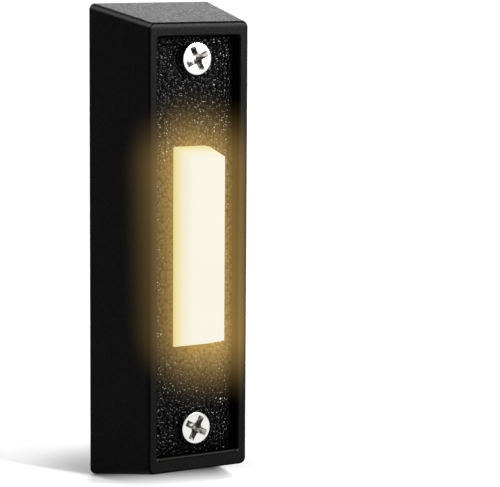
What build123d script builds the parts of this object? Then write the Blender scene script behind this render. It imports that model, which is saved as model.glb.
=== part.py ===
"""Lit doorbell push button, in millimetres: x to the right, z up, wall plane at y = 0, front towards -y.

Heights are measured from the wall towards the person at the door, so Plane.XZ.offset(height) faces them.
"""

import math
import os

from build123d import *

os.makedirs("parts", exist_ok=True)

# Housing: a shell whose four sides lean in from the wall to the front
back_width = 26.6
back_height = 90.0
body_depth = 18.0
side_lean = 2.7
end_lean = 3.0
corner_radius = 1.2
front_edge_radius = 0.55

# Sunken panel inside the rim
side_rim = 1.75
end_rim = 2.5
panel_depth = 2.5
panel_wall_draft = 6.5
panel_corner_radius = 0.6
rim_edge_bevel = 0.2
panel_thickness = 2.0

# Hollow behind the panel, and the ledge that the base plate sits on
front_side_wall = 2.6
front_end_wall = 3.0
ledge_width = 1.9
ledge_length = 2.4
cavity_draft = 1.0
cavity_corner_radius = 1.6

# Push bar
cap_width = 7.8
cap_length = 37.4
cap_front_length = 34.4
cap_proud = 3.3
cap_travel = 1.5
cap_side_wall = 1.2
cap_end_wall = 1.3
cap_front_wall = 1.2
cap_edge_radius = 0.6
cap_corner_radius = 0.25
window_clearance = 0.2
flange_overlap = 1.2
flange_thickness = 1.2
flange_corner_radius = 1.0

# Moving contact on the back of the push bar
bridge_length = 8.4
bridge_width = 3.6
bridge_thickness = 0.5
bridge_post_width = 3.2
stake_diameter = 1.5
stake_head_diameter = 2.4
stake_head_height = 0.4
stake_clearance = 0.05

# Return springs
spring_spacing = 28.0
spring_room = 0.4
spring_wire = 0.45
spring_wire_sides = 6
spring_length = 6.6
spring_turns = 3.5
spring_seat_gap = 0.02
spring_pin_room = 0.6
spring_pin_gap = 0.5
spring_post_height = 2.0

# Terminal strips, washers and screws
strip_thickness = 0.7
strip_width = 6.0
strip_bend_radius = 0.4
pad_room = 0.7
leg_clearance = 0.2
leg_wall_gap = 0.6
tab_gap = 3.2
terminal_screw_diameter = 3.0
terminal_head_diameter = 5.6
terminal_head_height = 1.9
terminal_slot_width = 0.8
terminal_slot_depth = 0.9
washer_thickness = 0.7
washer_inset = 0.15
head_bevel = 0.5
thread_clearance = 0.05
hole_clearance = 0.2

# Circuit board and what it carries
board_thickness = 1.2
board_corner_radius = 0.8
board_margin = 2.0
standoff_height = 1.0
lead_diameter = 0.5
lead_clearance = 0.1
lead_stub = 0.6
led_spacing = 15.0
led_diameter = 3.0
led_flange_diameter = 3.8
led_flange_height = 1.0
led_body_height = 4.6
led_lead_spacing = 2.54
led_lead_width = 0.45
resistor_diameter = 2.2
resistor_length = 6.0
diode_diameter = 2.4
diode_length = 4.6
lead_reach = 1.4
body_end_bevel = 0.3
part_lift = 0.1
part_room = 0.8

# Base plate and the small screws
base_thickness = 1.8
base_clearance = 0.2
base_corner_radius = 1.2
barrier_thickness = 1.2
barrier_height = 3.0
barrier_overhang = 1.5
boss_diameter = 5.0
boss_room = 0.6
boss_bite = 0.3
small_screw_diameter = 1.9
small_head_diameter = 3.6
small_head_height = 1.4
small_cross_width = 0.7
small_cross_length = 2.2
small_cross_depth = 0.7
base_screw_length = 6.0
board_screw_length = 3.6
pilot_tip_room = 0.8

# Mounting screws
mounting_end_gap = 4.8
mounting_rise = 0.5
mounting_hole_diameter = 3.8
mounting_length = 30.4
mounting_head_diameter = 6.0
mounting_head_rim = 0.4
mounting_head_height = 2.6
mounting_shank_diameter = 2.56
mounting_shank_length = 3.3
mounting_thread_diameter = 3.3
mounting_tip_length = 2.4
mounting_tip_diameter = 0.4
mounting_cross_width = 1.25
mounting_cross_length = 5.2
mounting_cross_core = 1.8
mounting_cross_depth = 1.9
mounting_cross_tip = 0.7
mounting_seat_gap = 0.03
mounting_passage = 6.2
upper_cross_turn = 26.0
lower_cross_turn = -24.0

# Heights above the wall, from the front to the back
cap_front = body_depth + cap_proud
floor = body_depth - panel_depth
panel_back = floor - panel_thickness
flange_back = panel_back - flange_thickness
bridge_back = flange_back - bridge_thickness
pad_front = bridge_back - cap_travel
board_front = pad_front - strip_thickness
board_back = board_front - board_thickness
ledge = board_back - standoff_height
base_back = ledge - base_thickness
tab_back = base_back - strip_thickness
washer_back = tab_back - washer_thickness

# Widths and lengths that follow from the ones above
front_width = back_width - 2 * side_lean
front_height = back_height - 2 * end_lean
panel_width = front_width - 2 * side_rim
panel_height = front_height - 2 * end_rim
outer_width = front_width + 2 * side_lean * (body_depth - panel_back) / body_depth
outer_height = front_height + 2 * end_lean * (body_depth - panel_back) / body_depth
front_room_width = outer_width - 2 * front_side_wall
front_room_height = outer_height - 2 * front_end_wall
rear_room_width = front_room_width + 2 * ledge_width
rear_room_height = front_room_height + 2 * ledge_length
rear_flare = ledge * math.tan(math.radians(cavity_draft))

window_width = cap_width + 2 * window_clearance
window_length = cap_length + 2 * window_clearance
flange_width = window_width + 2 * flange_overlap
flange_length = window_length + 2 * flange_overlap
cap_inner_width = cap_width - 2 * cap_side_wall
cap_ceiling = cap_front - cap_front_wall

spring_diameter = cap_inner_width - 2 * spring_room
spring_inner_diameter = spring_diameter - 2 * spring_wire
spring_pin_diameter = spring_inner_diameter - 2 * spring_pin_room
spring_seat = board_front + spring_length
spring_post_top = board_front + spring_post_height
spring_pin_tip = spring_post_top + cap_travel + spring_pin_gap

leg_outside = front_room_width / 2 - leg_wall_gap
leg_inside = leg_outside - strip_thickness
board_width = 2 * (leg_inside - leg_clearance)
pad_inside = stake_head_diameter / 2 + pad_room
tab_inside = tab_gap / 2
terminal_x = (tab_inside + leg_outside) / 2
washer_size = leg_outside - tab_inside - 2 * washer_inset
terminal_tip = board_back - hole_clearance - lead_clearance

board_screw_z = flange_length / 2 + part_room + small_head_diameter / 2
part_row_z = board_screw_z + small_head_diameter / 2 + part_room + diode_diameter / 2
board_length = 2 * (part_row_z + board_margin)
base_width = rear_room_width - 2 * base_clearance
base_length = rear_room_height - 2 * base_clearance
boss_x = front_room_width / 2 - boss_diameter / 2 + boss_bite
boss_z = board_length / 2 + boss_room + boss_diameter / 2
mounting_spacing = panel_height - 2 * mounting_end_gap
upper_screw_z = mounting_rise + mounting_spacing / 2
lower_screw_z = mounting_rise - mounting_spacing / 2

mounting_head_slope = mounting_head_height - mounting_head_rim
mounting_head_flare = (mounting_head_diameter - mounting_shank_diameter) / 2
mounting_seat_flare = (mounting_head_diameter - mounting_hole_diameter) / 2
mounting_seat_drop = mounting_head_slope * mounting_seat_flare / mounting_head_flare
mounting_top = floor + mounting_seat_gap + mounting_head_rim + mounting_seat_drop

boss_places = [(boss_x, boss_z), (-boss_x, -boss_z)]
board_screw_places = [(0, board_screw_z), (0, -board_screw_z)]
spring_places = [(0, spring_spacing / 2), (0, -spring_spacing / 2)]
terminal_places = [(terminal_x, 0), (-terminal_x, 0)]
mounting_places = [(0, upper_screw_z), (0, lower_screw_z)]
led_lead_places = [
    (side * led_lead_spacing / 2, end * led_spacing / 2) for side in (-1, 1) for end in (-1, 1)
]
resistor_lead_x = resistor_length / 2 + lead_reach
diode_lead_x = diode_length / 2 + lead_reach
part_lead_places = [
    (resistor_lead_x, part_row_z),
    (-resistor_lead_x, part_row_z),
    (diode_lead_x, -part_row_z),
    (-diode_lead_x, -part_row_z),
]

# Housing: leaning outside, sunken panel, window, stepped hollow and two bosses for the base screws
with BuildPart() as housing:
    Wedge(
        back_width,
        body_depth,
        back_height,
        side_lean,
        end_lean,
        back_width - side_lean,
        back_height - end_lean,
        rotation=(0, 0, 180),
        align=(Align.CENTER, Align.MIN, Align.CENTER),
    )
    fillet(housing.edges().filter_by_position(Axis.Y, -0.9 * body_depth, -0.1 * body_depth), corner_radius)
    fillet(housing.faces().sort_by(Axis.Y)[0].outer_wire().edges(), front_edge_radius)
    with BuildSketch(Plane.XZ.offset(body_depth)):
        RectangleRounded(panel_width, panel_height, panel_corner_radius)
    extrude(amount=-panel_depth, taper=panel_wall_draft, mode=Mode.SUBTRACT)
    chamfer(housing.faces().sort_by(Axis.Y)[0].inner_wires()[0].edges(), rim_edge_bevel)
    with BuildSketch(Plane.XZ):
        RectangleRounded(
            rear_room_width + 2 * rear_flare, rear_room_height + 2 * rear_flare, cavity_corner_radius
        )
    extrude(amount=ledge, taper=cavity_draft, mode=Mode.SUBTRACT)
    with BuildSketch(Plane.XZ.offset(ledge)):
        RectangleRounded(front_room_width, front_room_height, cavity_corner_radius)
    extrude(amount=panel_back - ledge, mode=Mode.SUBTRACT)
    with BuildSketch(Plane.XZ.offset(ledge)):
        with Locations(boss_places):
            Circle(boss_diameter / 2)
    extrude(amount=panel_back - ledge)
    with BuildSketch(Plane.XZ.offset(ledge)):
        with Locations(boss_places):
            Circle(small_screw_diameter / 2 + thread_clearance)
    extrude(amount=base_screw_length - base_thickness + pilot_tip_room, mode=Mode.SUBTRACT)
    with BuildSketch(Plane.XZ.offset(panel_back)):
        RectangleRounded(window_width, window_length, cap_corner_radius + window_clearance)
        with Locations(mounting_places):
            Circle(mounting_hole_diameter / 2)
    extrude(amount=panel_thickness, mode=Mode.SUBTRACT)
housing.part.label = "housing"
export_step(housing.part, "parts/housing.step")

# Push bar: hollow, with ends that slope towards the front, a stop flange, spring pins and the contact post
with BuildPart() as button_cap:
    with BuildSketch(Plane.YZ):
        with BuildLine():
            Polyline(
                (-panel_back, -cap_length / 2),
                (-floor, -cap_length / 2),
                (-cap_front, -cap_front_length / 2),
                (-cap_front, cap_front_length / 2),
                (-floor, cap_length / 2),
                (-panel_back, cap_length / 2),
                close=True,
            )
        make_face()
    extrude(amount=cap_width / 2, both=True)
    fillet(button_cap.faces().sort_by(Axis.Y)[0].edges(), cap_edge_radius)
    corner_edges = button_cap.edges().filter_by_position(Axis.Y, cap_edge_radius - cap_front, -1.01 * panel_back)
    fillet(corner_edges.filter_by(Axis.X, reverse=True), cap_corner_radius)
    with BuildSketch(Plane.XZ.offset(flange_back)):
        RectangleRounded(flange_width, flange_length, flange_corner_radius)
    extrude(amount=flange_thickness)
    with BuildSketch(Plane.YZ):
        with BuildLine():
            Polyline(
                (-flange_back, cap_end_wall - cap_length / 2),
                (-floor, cap_end_wall - cap_length / 2),
                (-cap_ceiling, cap_end_wall - cap_front_length / 2),
                (-cap_ceiling, cap_front_length / 2 - cap_end_wall),
                (-floor, cap_length / 2 - cap_end_wall),
                (-flange_back, cap_length / 2 - cap_end_wall),
                close=True,
            )
        make_face()
    extrude(amount=cap_inner_width / 2, both=True, mode=Mode.SUBTRACT)
    with BuildSketch(Plane.XZ.offset(flange_back)):
        Rectangle(cap_inner_width, bridge_post_width)
    extrude(amount=cap_ceiling - flange_back)
    with BuildSketch(Plane.XZ.offset(bridge_back)):
        Circle(stake_diameter / 2)
    extrude(amount=bridge_thickness)
    with BuildSketch(Plane.XZ.offset(bridge_back - stake_head_height)):
        Circle(stake_head_diameter / 2)
    extrude(amount=stake_head_height)
    with BuildSketch(Plane.XZ.offset(spring_seat)):
        with Locations(spring_places):
            Rectangle(cap_inner_width, spring_diameter)
    extrude(amount=cap_ceiling - spring_seat)
    with BuildSketch(Plane.XZ.offset(spring_pin_tip)):
        with Locations(spring_places):
            Circle(spring_pin_diameter / 2)
    extrude(amount=spring_seat - spring_pin_tip)
button_cap.part.label = "button_cap"
export_step(button_cap.part, "parts/button_cap.step")

# Contact bridge: brass bar against the back of the push bar, held by the staked pin
with BuildPart() as contact_bridge:
    with BuildSketch(Plane.XZ.offset(bridge_back)):
        RectangleRounded(bridge_length, bridge_width, bridge_thickness)
        Circle(stake_diameter / 2 + stake_clearance, mode=Mode.SUBTRACT)
    extrude(amount=bridge_thickness)
contact_bridge.part.label = "contact_bridge"
export_step(contact_bridge.part, "parts/contact_bridge.step")

# Return springs: open coils with ground ends, from the board to the seats inside the push bar
coil_radius = (spring_diameter - spring_wire) / 2
coil_pitch = spring_length / spring_turns
coil_start = board_front - spring_wire / 2
for name, (spring_x, spring_z) in zip(("upper_return_spring", "lower_return_spring"), spring_places):
    with BuildPart() as spring:
        with BuildLine() as coil:
            Helix(
                coil_pitch,
                spring_length + spring_wire,
                coil_radius,
                center=(spring_x, -coil_start, spring_z),
                direction=(0, -1, 0),
            )
        with BuildSketch(Plane(origin=coil.line @ 0, z_dir=coil.line % 0)):
            RegularPolygon(spring_wire / 2, spring_wire_sides)
        sweep(path=coil.line, is_frenet=True)
        split(bisect_by=Plane.XZ.offset(board_front + spring_seat_gap), keep=Keep.TOP)
        split(bisect_by=Plane.XZ.offset(spring_seat - spring_seat_gap), keep=Keep.BOTTOM)
    spring.part.label = name
    export_step(spring.part, f"parts/{name}.step")

# Circuit board: holes for spring posts, leads and screws, and ends that keep clear of the mounting screws
with BuildPart() as circuit_board:
    with BuildSketch(Plane.XZ.offset(board_back)):
        RectangleRounded(board_width, board_length, board_corner_radius)
        with Locations(spring_places):
            Circle(spring_pin_diameter / 2 + hole_clearance, mode=Mode.SUBTRACT)
        with Locations(board_screw_places):
            Circle(small_screw_diameter / 2 + hole_clearance, mode=Mode.SUBTRACT)
        with Locations(led_lead_places + part_lead_places):
            Circle(lead_diameter / 2 + lead_clearance, mode=Mode.SUBTRACT)
        with Locations(mounting_places):
            Circle(mounting_passage / 2, mode=Mode.SUBTRACT)
    extrude(amount=board_thickness)
circuit_board.part.label = "circuit_board"
export_step(circuit_board.part, "parts/circuit_board.step")

# Lamps: round epoxy bodies with a foot flange and a domed top
dome_start = board_front + led_body_height - led_diameter / 2
for name, end in (("upper_led", 1), ("lower_led", -1)):
    with BuildPart() as led:
        with BuildSketch(Plane.XY.offset(end * led_spacing / 2)):
            with BuildLine():
                Polyline(
                    (0, -dome_start - led_diameter / 2),
                    (0, -board_front),
                    (led_flange_diameter / 2, -board_front),
                    (led_flange_diameter / 2, -board_front - led_flange_height),
                    (led_diameter / 2, -board_front - led_flange_height),
                    (led_diameter / 2, -dome_start),
                )
                CenterArc((0, -dome_start), led_diameter / 2, 270, 90)
            make_face()
        revolve(axis=Axis((0, 0, end * led_spacing / 2), (0, 1, 0)))
    led.part.label = name
    export_step(led.part, f"parts/{name}.step")

# Lamp leads: straight square wires through the board
with BuildPart() as led_leads:
    with BuildSketch(Plane.XZ.offset(board_back - lead_stub)):
        with Locations(led_lead_places):
            Rectangle(led_lead_width, led_lead_width)
    extrude(amount=board_thickness + lead_stub)
led_leads.part.label = "led_leads"
export_step(led_leads.part, "parts/led_leads.step")

# Resistor and rectifier diode: round bodies lying across the board, each with two bent leads
small_parts = (
    ("resistor", resistor_diameter, resistor_length, resistor_lead_x, part_row_z),
    ("diode", diode_diameter, diode_length, diode_lead_x, -part_row_z),
)
for name, diameter, length, lead_x, row_z in small_parts:
    lying_height = board_front + part_lift + diameter / 2
    with BuildPart() as body:
        with BuildSketch(Plane.YZ.offset(-length / 2)):
            with Locations((-lying_height, row_z)):
                Circle(diameter / 2)
        extrude(amount=length)
        chamfer(body.edges().filter_by(GeomType.CIRCLE), body_end_bevel)
    body.part.label = f"{name}_body"
    export_step(body.part, f"parts/{name}_body.step")
    with BuildPart() as leads:
        with BuildLine(Plane.XY.offset(row_z)) as bent:
            Polyline(
                (length / 2, -lying_height),
                (lead_x, -lying_height),
                (lead_x, lead_stub - board_back),
            )
        with BuildSketch(Plane(origin=bent.line @ 0, z_dir=(1, 0, 0))):
            Circle(lead_diameter / 2)
        sweep(path=bent.line, transition=Transition.RIGHT)
        mirror(about=Plane.YZ)
    leads.part.label = f"{name}_leads"
    export_step(leads.part, f"parts/{name}_leads.step")

# Terminal strips: contact pad on the board, leg past its edge, tapped tab behind the base plate
for name, side in (("left_terminal_strip", -1), ("right_terminal_strip", 1)):
    with BuildPart() as strip:
        with BuildSketch(Plane.XY):
            with BuildLine():
                Polyline(
                    (side * pad_inside, -pad_front),
                    (side * leg_outside, -pad_front),
                    (side * leg_outside, -tab_back),
                    (side * tab_inside, -tab_back),
                    (side * tab_inside, -base_back),
                    (side * leg_inside, -base_back),
                    (side * leg_inside, -board_front),
                    (side * pad_inside, -board_front),
                    close=True,
                )
            make_face()
        extrude(amount=strip_width / 2, both=True)
        bends = strip.edges().filter_by(Axis.Z).filter_by(
            lambda edge: abs(abs(edge.center().X) - leg_outside) < strip_thickness / 10
        )
        fillet(bends, strip_bend_radius)
        with BuildSketch(Plane.XZ.offset(tab_back)):
            with Locations((side * terminal_x, 0)):
                Circle(terminal_screw_diameter / 2 + thread_clearance)
        extrude(amount=strip_thickness, mode=Mode.SUBTRACT)
    strip.part.label = name
    export_step(strip.part, f"parts/{name}.step")

# Clamp washers: square, with rounded corners, under the terminal screw heads
for name, (place_x, place_z) in zip(("right_clamp_washer", "left_clamp_washer"), terminal_places):
    with BuildPart() as washer:
        with BuildSketch(Plane.XZ.offset(washer_back)):
            with Locations((place_x, place_z)):
                RectangleRounded(washer_size, strip_width - 2 * washer_inset, washer_thickness)
                Circle(terminal_screw_diameter / 2 + lead_clearance, mode=Mode.SUBTRACT)
        extrude(amount=washer_thickness)
    washer.part.label = name
    export_step(washer.part, f"parts/{name}.step")

# Terminal screws: slotted pan heads facing the wall
for name, (place_x, place_z) in zip(("right_terminal_screw", "left_terminal_screw"), terminal_places):
    with BuildPart() as screw:
        with BuildSketch(Plane.XZ.offset(washer_back)):
            with Locations((place_x, place_z)):
                Circle(terminal_head_diameter / 2)
        extrude(amount=-terminal_head_height)
        chamfer(screw.edges().sort_by(Axis.Y)[-1], head_bevel)
        with BuildSketch(Plane.XZ.offset(washer_back - terminal_head_height)):
            with Locations((place_x, place_z)):
                Rectangle(2 * terminal_head_diameter, terminal_slot_width)
        extrude(amount=terminal_slot_depth, mode=Mode.SUBTRACT)
        with BuildSketch(Plane.XZ.offset(washer_back)):
            with Locations((place_x, place_z)):
                Circle(terminal_screw_diameter / 2)
        extrude(amount=terminal_tip - washer_back)
    screw.part.label = name
    export_step(screw.part, f"parts/{name}.step")

# Base plate: closes the housing, with spring posts, board standoffs, leg slots and a barrier between terminals
with BuildPart() as base_plate:
    with BuildSketch(Plane.XZ.offset(base_back)):
        RectangleRounded(base_width, base_length, base_corner_radius)
        with Locations(mounting_places):
            Circle(mounting_passage / 2, mode=Mode.SUBTRACT)
        with Locations(boss_places):
            Circle(small_screw_diameter / 2 + hole_clearance, mode=Mode.SUBTRACT)
        with Locations(terminal_places):
            Circle(terminal_screw_diameter / 2 + hole_clearance, mode=Mode.SUBTRACT)
        with Locations(
            ((leg_inside + leg_outside) / 2, 0),
            (-(leg_inside + leg_outside) / 2, 0),
        ):
            Rectangle(
                strip_thickness + 2 * lead_clearance, strip_width + 2 * lead_clearance, mode=Mode.SUBTRACT
            )
    extrude(amount=base_thickness)
    with BuildSketch(Plane.XZ.offset(ledge)):
        with Locations(board_screw_places):
            Circle(boss_diameter / 2)
        with Locations(spring_places):
            Circle(boss_diameter / 2)
    extrude(amount=standoff_height)
    with BuildSketch(Plane.XZ.offset(board_back)):
        with Locations(spring_places):
            Circle(spring_pin_diameter / 2)
    extrude(amount=spring_post_top - board_back)
    with BuildSketch(Plane.XZ.offset(board_back)):
        with Locations(board_screw_places):
            Circle(small_screw_diameter / 2 + thread_clearance)
    extrude(amount=board_thickness - board_screw_length - lead_clearance, mode=Mode.SUBTRACT)
    with BuildSketch(Plane.XZ.offset(base_back)):
        Rectangle(barrier_thickness, strip_width + 2 * barrier_overhang)
    extrude(amount=-barrier_height)
base_plate.part.label = "base_plate"
export_step(base_plate.part, "parts/base_plate.step")

# Small cross-head screws: the base plate to the housing, and the board to the base plate
small_screws = (
    ("base_screws", boss_places, base_back, -1, base_screw_length),
    ("board_screws", board_screw_places, board_front, 1, board_screw_length),
)
for name, places, seat, outward, length in small_screws:
    with BuildPart() as screws:
        with BuildSketch(Plane.XZ.offset(seat)):
            with Locations(places):
                Circle(small_head_diameter / 2)
        extrude(amount=outward * small_head_height)
        tops = screws.faces().filter_by(Axis.Y).group_by(Axis.Y)[0 if outward > 0 else -1]
        chamfer(tops.edges(), head_bevel)
        with BuildSketch(Plane.XZ.offset(seat + outward * small_head_height)):
            with Locations(places):
                Rectangle(small_cross_length, small_cross_width)
                Rectangle(small_cross_width, small_cross_length)
        extrude(amount=-outward * small_cross_depth, mode=Mode.SUBTRACT)
        with BuildSketch(Plane.XZ.offset(seat)):
            with Locations(places):
                Circle(small_screw_diameter / 2)
        extrude(amount=-outward * length)
    screws.part.label = name
    export_step(screws.part, f"parts/{name}.step")

# Mounting screws: countersunk cross heads on the hole edges, plain neck in the panel, pointed thread behind
with BuildPart() as cross_recess:
    with BuildSketch(Plane.XZ):
        Rectangle(mounting_cross_length, mounting_cross_width)
        Rectangle(mounting_cross_width, mounting_cross_length)
        Rectangle(mounting_cross_core, mounting_cross_core, rotation=45)
    extrude(amount=-mounting_cross_depth)
    with BuildSketch(Plane.XY):
        with BuildLine():
            Polyline(
                (0, 0),
                (mounting_cross_length / 2, 0),
                (mounting_cross_tip / 2, mounting_cross_depth),
                (0, mounting_cross_depth),
                close=True,
            )
        make_face()
    revolve(axis=Axis.Y, mode=Mode.INTERSECT)

neck_start = mounting_top - mounting_head_height
thread_start = neck_start - mounting_shank_length
mounting_tip = mounting_top - mounting_length
mounting_screws = (
    ("upper_mounting_screw", upper_screw_z, upper_cross_turn),
    ("lower_mounting_screw", lower_screw_z, lower_cross_turn),
)
for name, screw_z, cross_turn in mounting_screws:
    with BuildPart() as screw:
        with BuildSketch(Plane.XY.offset(screw_z)):
            with BuildLine():
                Polyline(
                    (0, -mounting_top),
                    (mounting_head_diameter / 2, -mounting_top),
                    (mounting_head_diameter / 2, mounting_head_rim - mounting_top),
                    (mounting_shank_diameter / 2, -neck_start),
                    (mounting_shank_diameter / 2, -thread_start),
                    (mounting_thread_diameter / 2, -thread_start),
                    (mounting_thread_diameter / 2, -mounting_tip - mounting_tip_length),
                    (mounting_tip_diameter / 2, -mounting_tip),
                    (0, -mounting_tip),
                    close=True,
                )
            make_face()
        revolve(axis=Axis((0, 0, screw_z), (0, 1, 0)))
        with Locations(Location((0, -mounting_top, screw_z), (0, -cross_turn, 0))):
            add(cross_recess.part, mode=Mode.SUBTRACT)
    screw.part.label = name
    export_step(screw.part, f"parts/{name}.step")
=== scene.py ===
import math

import bmesh
import bpy
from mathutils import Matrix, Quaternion, Vector


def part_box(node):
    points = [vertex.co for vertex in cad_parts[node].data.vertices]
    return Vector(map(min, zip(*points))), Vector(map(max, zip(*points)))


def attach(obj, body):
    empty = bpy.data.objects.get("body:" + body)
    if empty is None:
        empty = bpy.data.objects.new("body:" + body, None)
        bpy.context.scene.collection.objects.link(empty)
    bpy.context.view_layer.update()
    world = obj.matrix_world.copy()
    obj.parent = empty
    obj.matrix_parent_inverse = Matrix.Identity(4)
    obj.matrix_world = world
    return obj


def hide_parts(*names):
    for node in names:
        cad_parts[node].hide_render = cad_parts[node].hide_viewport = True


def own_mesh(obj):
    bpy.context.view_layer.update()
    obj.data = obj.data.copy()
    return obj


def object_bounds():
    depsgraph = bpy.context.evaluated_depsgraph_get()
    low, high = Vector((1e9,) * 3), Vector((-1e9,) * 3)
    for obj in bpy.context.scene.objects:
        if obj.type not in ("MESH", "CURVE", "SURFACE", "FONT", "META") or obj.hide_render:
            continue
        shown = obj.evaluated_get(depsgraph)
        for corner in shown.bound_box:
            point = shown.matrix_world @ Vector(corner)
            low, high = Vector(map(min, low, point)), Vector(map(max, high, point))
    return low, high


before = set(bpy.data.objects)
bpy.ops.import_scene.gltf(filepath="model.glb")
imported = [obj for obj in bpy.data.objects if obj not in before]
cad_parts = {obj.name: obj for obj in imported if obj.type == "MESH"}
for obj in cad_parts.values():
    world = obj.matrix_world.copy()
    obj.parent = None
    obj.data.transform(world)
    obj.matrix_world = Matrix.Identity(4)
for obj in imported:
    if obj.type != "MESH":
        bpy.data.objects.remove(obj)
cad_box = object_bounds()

# Housing: the body, one zinc die casting with leaning sides and a sunken front, open at the back.
# It is sprayed with a textured black powder coat, and two wall screws hold it to the wall.
# The lit bar spills a warm glow on the coat around it, painted by distance from the bar.
mm = 0.001
coat_colour = "#0B0B0B"
coat_gloss = 0.0105
coat_grain = 0.5 * mm
coat_depth = 0.075 * mm
coat_bump = 0.6
grain_span = (0.3, 0.7)
grain_roughness = (0.4, 0.6)
grain_tone = (1.3, 0.7)
# Painted shade: the rounded edges are drawn darker than the coat.
edge_shade_colour = "#030303"
edge_shade_stops = ((0, coat_colour), (0.2, coat_colour), (0.36, edge_shade_colour),
              (0.95, edge_shade_colour), (0.995, coat_colour), (1, coat_colour))
# Painted highlight: the upper side edges and the front's upper lip are drawn paler grey.
painted_highlight_colour = "#626264"
highlight_stops = ((0, 0), (0.15, 0), (0.5, 0.72), (0.62, 0.72), (0.85, 0), (1, 0))
highlight_sides = (0.35, 0.7)
lip_turn = (0.91, 0.99)
lip_highlight_band = (40.8 * mm, 41.7 * mm)
lip_highlight_share = 0.13
glow_colour = "#FFCF75"
glow_strength = 1.55
glow_reach = 17.6 * mm
glow_falloff = 2.8
glow_middle = (0.7 * mm, -20.7 * mm, -0.5 * mm)
glow_half_line = (0, 0, 15.0 * mm)
glow_lean = 0.1
glow_lean_at_top = -0.3
glow_sway = 0.045
glow_edge = (9.8 * mm, 10.6 * mm)
glow_past_rim = 0.4


def linear(hex_colour):
    """The linear colour of an sRGB hex value."""
    parts = [int(hex_colour[i:i + 2], 16) / 255 for i in (1, 3, 5)]
    return [c / 12.92 if c <= 0.04045 else ((c + 0.055) / 1.055) ** 2.4 for c in parts] + [1]


def grey(share):
    """A grey that carries a plain number through a colour ramp."""
    return (share, share, share, 1)


def fill_inputs(tree, node, inputs):
    """Links each input that is given a socket and sets each one that is given a value."""
    for name, value in inputs.items():
        if isinstance(value, bpy.types.NodeSocket):
            tree.links.new(value, node.inputs[name])
        else:
            node.inputs[name].default_value = value


def add_node(tree, kind, inputs, **settings):
    """Adds one node with its settings and inputs."""
    node = tree.nodes.new("ShaderNode" + kind)
    for name, value in settings.items():
        setattr(node, name, value)
    fill_inputs(tree, node, inputs)
    return node


def fill_ramp(node, stops):
    """Gives a colour ramp its stops, of which the first and the last are its ends."""
    elements = node.color_ramp.elements
    for start, colour in stops[1:-1]:
        elements.new(start).color = colour
    elements[0].color = stops[0][1]
    elements[-1].position, elements[-1].color = stops[-1]


def start_material(name):
    """A new material, with its tree, its main shader and the place on the piece."""
    material = bpy.data.materials.new(name)
    material.use_nodes = True
    tree = material.node_tree
    place = add_node(tree, "TexCoord", {}).outputs["Object"]
    return material, tree, tree.nodes["Principled BSDF"], place


def dress(material, *names):
    """Gives the CAD nodes of these names a material."""
    for name in names:
        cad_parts[name].material_slots[0].material = material


def bar_glow(tree, place):
    """The bar's warm light on a black surface, fading with distance from a line along its front.

    The line is tilted a little across, and the glow's ends are slanted, the lower one most.
    """
    from_middle = add_node(tree, "VectorMath", {0: place, 1: glow_middle}, operation="SUBTRACT")
    across = add_node(tree, "SeparateXYZ", {0: from_middle.outputs[0]})
    low_lean = add_node(tree, "MapRange", {
        "Value": across.outputs["Z"], "From Min": -glow_half_line[2],
        "From Max": glow_half_line[2], "To Min": 1, "To Max": glow_lean_at_top})
    swept = add_node(tree, "Math", {0: across.outputs["X"], 1: low_lean.outputs[0]},
                     operation="MULTIPLY")
    leaning = add_node(tree, "VectorMath", {
        0: swept.outputs[0], 1: (0, 0, glow_lean), 2: from_middle.outputs[0]},
        operation="MULTIPLY_ADD")
    swaying = add_node(tree, "VectorMath", {
        0: across.outputs["Z"], 1: (glow_sway, 0, 0), 2: leaning.outputs[0]},
        operation="MULTIPLY_ADD")
    aside = add_node(tree, "VectorMath", {0: swaying.outputs[0]}, operation="ABSOLUTE")
    past_line = add_node(tree, "VectorMath", {0: aside.outputs[0], 1: glow_half_line},
                         operation="SUBTRACT")
    off_line = add_node(tree, "VectorMath", {0: past_line.outputs[0], 1: (0, 0, 0)},
                        operation="MAXIMUM")
    distance = add_node(tree, "VectorMath", {0: off_line.outputs[0]}, operation="LENGTH")
    near = add_node(tree, "MapRange", {
        "Value": distance.outputs["Value"], "From Max": glow_reach, "To Min": 1, "To Max": 0})
    fading = add_node(tree, "Math", {0: near.outputs[0], 1: glow_falloff}, operation="POWER")
    sideways = add_node(tree, "SeparateXYZ", {0: place})
    past_rim = add_node(tree, "MapRange", {
        "Value": sideways.outputs["X"], "From Min": glow_edge[0], "From Max": glow_edge[1],
        "To Min": 1, "To Max": glow_past_rim})
    shown = add_node(tree, "Math", {0: fading.outputs[0], 1: past_rim.outputs[0]},
                     operation="MULTIPLY")
    glow = add_node(tree, "MixRGB", {
        "Fac": shown.outputs[0], "Color1": grey(0), "Color2": linear(glow_colour)})
    return glow.outputs[0]


# The coat is almost black seen face on and greys where light skims over its grain, which is drawn
# 2.5 times as coarse as the real 0.2 mm, so that it shows. Rounded edges are drawn darker, a
# painted shade, and the upper edges and the front's upper lip are drawn paler grey, a painted
# highlight.
coat, tree, shader, place = start_material("black_textured_powder_coat")
grain = add_node(tree, "TexNoise", {"Vector": place, "Scale": 1 / coat_grain, "Detail": 3.0})
bump = add_node(tree, "Bump", {
    "Height": grain.outputs["Fac"], "Distance": coat_depth, "Strength": coat_bump})
dust = add_node(tree, "MapRange", {
    "Value": grain.outputs["Fac"], "From Min": grain_span[0], "From Max": grain_span[1],
    "To Min": grain_roughness[0], "To Max": grain_roughness[1]})
speckle = add_node(tree, "MapRange", {
    "Value": grain.outputs["Fac"], "From Min": grain_span[0], "From Max": grain_span[1],
    "To Min": grain_tone[0], "To Max": grain_tone[1]})
turn = add_node(tree, "NewGeometry", {}).outputs["Normal"]
facing = add_node(tree, "SeparateXYZ", {0: turn})
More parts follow.
